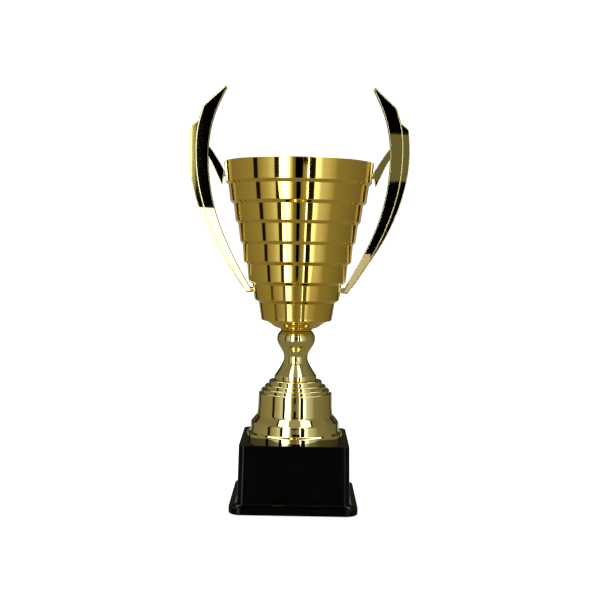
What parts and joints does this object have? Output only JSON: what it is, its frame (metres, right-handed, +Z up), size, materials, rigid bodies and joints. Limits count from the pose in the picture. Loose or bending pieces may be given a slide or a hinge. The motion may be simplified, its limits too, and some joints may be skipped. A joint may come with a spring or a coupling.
{
  "type": "cup trophy",
  "caption": "Gold-coloured stepped conical cup with two crescent blade handles, on a turned stem and bell over a black square plinth.",
  "frame": {"origin": "on the table surface, under the cup's axis, at the centre of the overall box's underside", "axes": "+Z up along the cup's axis; +X through the right handle as seen from the front; +Y towards the back"},
  "size_m": [0.2066, 0.1398, 0.3912],
  "materials": {
    "black_plastic": "gloss",
    "felt": "matte",
    "plate_plastic": "matte",
    "zinc_steel": "satin",
    "cast_weight": "matte",
    "gold_plastic": "polished",
    "fibre": "matte",
    "cup_metal": "polished"
  },
  "bodies": {
    "root": {"plinth": "black_plastic", "felt_pad": "felt", "base_plate": "plate_plastic", "base_screws": "zinc_steel", "ballast_block": "cast_weight", "tie_rod": "zinc_steel", "lower_washer": "zinc_steel", "lower_lock_washer": "zinc_steel", "lower_nut": "zinc_steel", "bell_riser": "gold_plastic", "stem": "gold_plastic", "seat_washer": "fibre", "cup_bowl": "cup_metal", "cup_washer": "zinc_steel", "cap_nut": "zinc_steel", "handle_right": "gold_plastic", "handle_left": "gold_plastic", "handle_screws": "zinc_steel", "handle_washers": "zinc_steel"}
  },
  "joints": []
}
